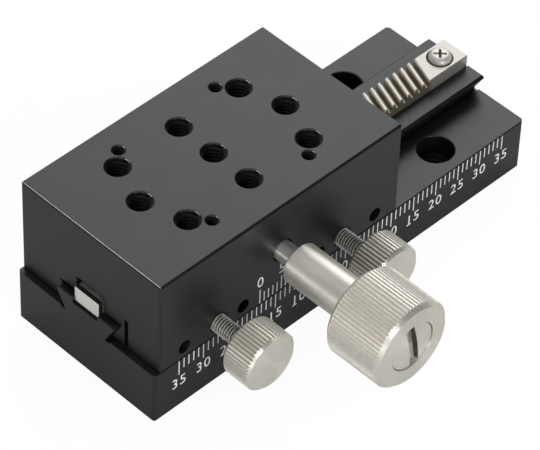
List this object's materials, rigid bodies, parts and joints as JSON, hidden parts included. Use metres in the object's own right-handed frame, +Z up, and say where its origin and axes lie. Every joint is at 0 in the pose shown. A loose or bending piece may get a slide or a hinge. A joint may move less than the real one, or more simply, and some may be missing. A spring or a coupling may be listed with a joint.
{
  "type": "rack and pinion stage",
  "caption": "Small black rack and pinion stage for a lab bench: a dovetail table with threaded holes, moved by a ribbed knob and held by two clamp screws.",
  "frame": {"origin": "middle of the base's underside, where the scale on the base reads zero", "axes": "+X along the travel, towards the right end of the scale; +Y across it, away from the knob; +Z up, out of the table top"},
  "size_m": [0.08, 0.0569, 0.028],
  "materials": {
    "black_anodised": "matte",
    "nickel": "satin",
    "screw_steel": "satin",
    "black_steel": "oxide",
    "bronze": "sintered",
    "spring_steel": "polished",
    "brass": "satin",
    "shaft_steel": "ground",
    "white_paint": "matte"
  },
  "bodies": {
    "base": {"base_plate": "black_anodised", "rack": "nickel", "rack_screw_left": "screw_steel", "rack_screw_right": "screw_steel"},
    "table": {"table_block": "black_anodised", "gib_screw_1": "black_steel", "gib_screw_2": "black_steel", "gib_screw_3": "black_steel", "gib_screw_4": "black_steel", "front_bush": "bronze", "rear_bush": "bronze", "thrust_washer": "spring_steel", "wave_washer": "spring_steel"},
    "knob": {"pinion": "brass", "pinion_shaft": "shaft_steel", "knob_sleeve": "nickel", "main_knob": "nickel", "knob_screw": "nickel"},
    "pad_left": {"clamp_pad_left": "brass"},
    "pad_right": {"clamp_pad_right": "brass"},
    "clamp_left": {"clamp_screw_left": "nickel"},
    "clamp_right": {"clamp_screw_right": "nickel"}
  },
  "joints": [
    {"name": "table_slide", "type": "slide", "parent": "base", "child": "table", "axis": [1, 0, 0], "range_m": [-0.0141, 0.0419]},
    {"name": "knob_turn", "type": "hinge", "parent": "table", "child": "knob", "pos_m": [-0.0139, 0, 0.01852], "axis": [0, 1, 0], "range_deg": [-254, 753]},
    {"name": "clamp_left_feed", "type": "slide", "parent": "table", "child": "pad_left", "axis": [0, 1, 0], "range_m": [-0.001, 0.00022]},
    {"name": "clamp_left_turn", "type": "hinge", "parent": "pad_left", "child": "clamp_left", "pos_m": [-0.0269, 0, 0.0122], "axis": [0, 1, 0], "range_deg": [-720, 160]},
    {"name": "clamp_right_feed", "type": "slide", "parent": "table", "child": "pad_right", "axis": [0, 1, 0], "range_m": [-0.001, 0.00022]},
    {"name": "clamp_right_turn", "type": "hinge", "parent": "pad_right", "child": "clamp_right", "pos_m": [-0.0009, 0, 0.0122], "axis": [0, 1, 0], "range_deg": [-720, 160]}
  ],
  "couplings": [
    {"joint": "knob_turn", "follows": "table_slide", "rad_per_m": 313.23},
    {"joint": "clamp_left_turn", "follows": "clamp_left_feed", "rad_per_m": 12566},
    {"joint": "clamp_right_turn", "follows": "clamp_right_feed", "rad_per_m": 12566}
  ]
}
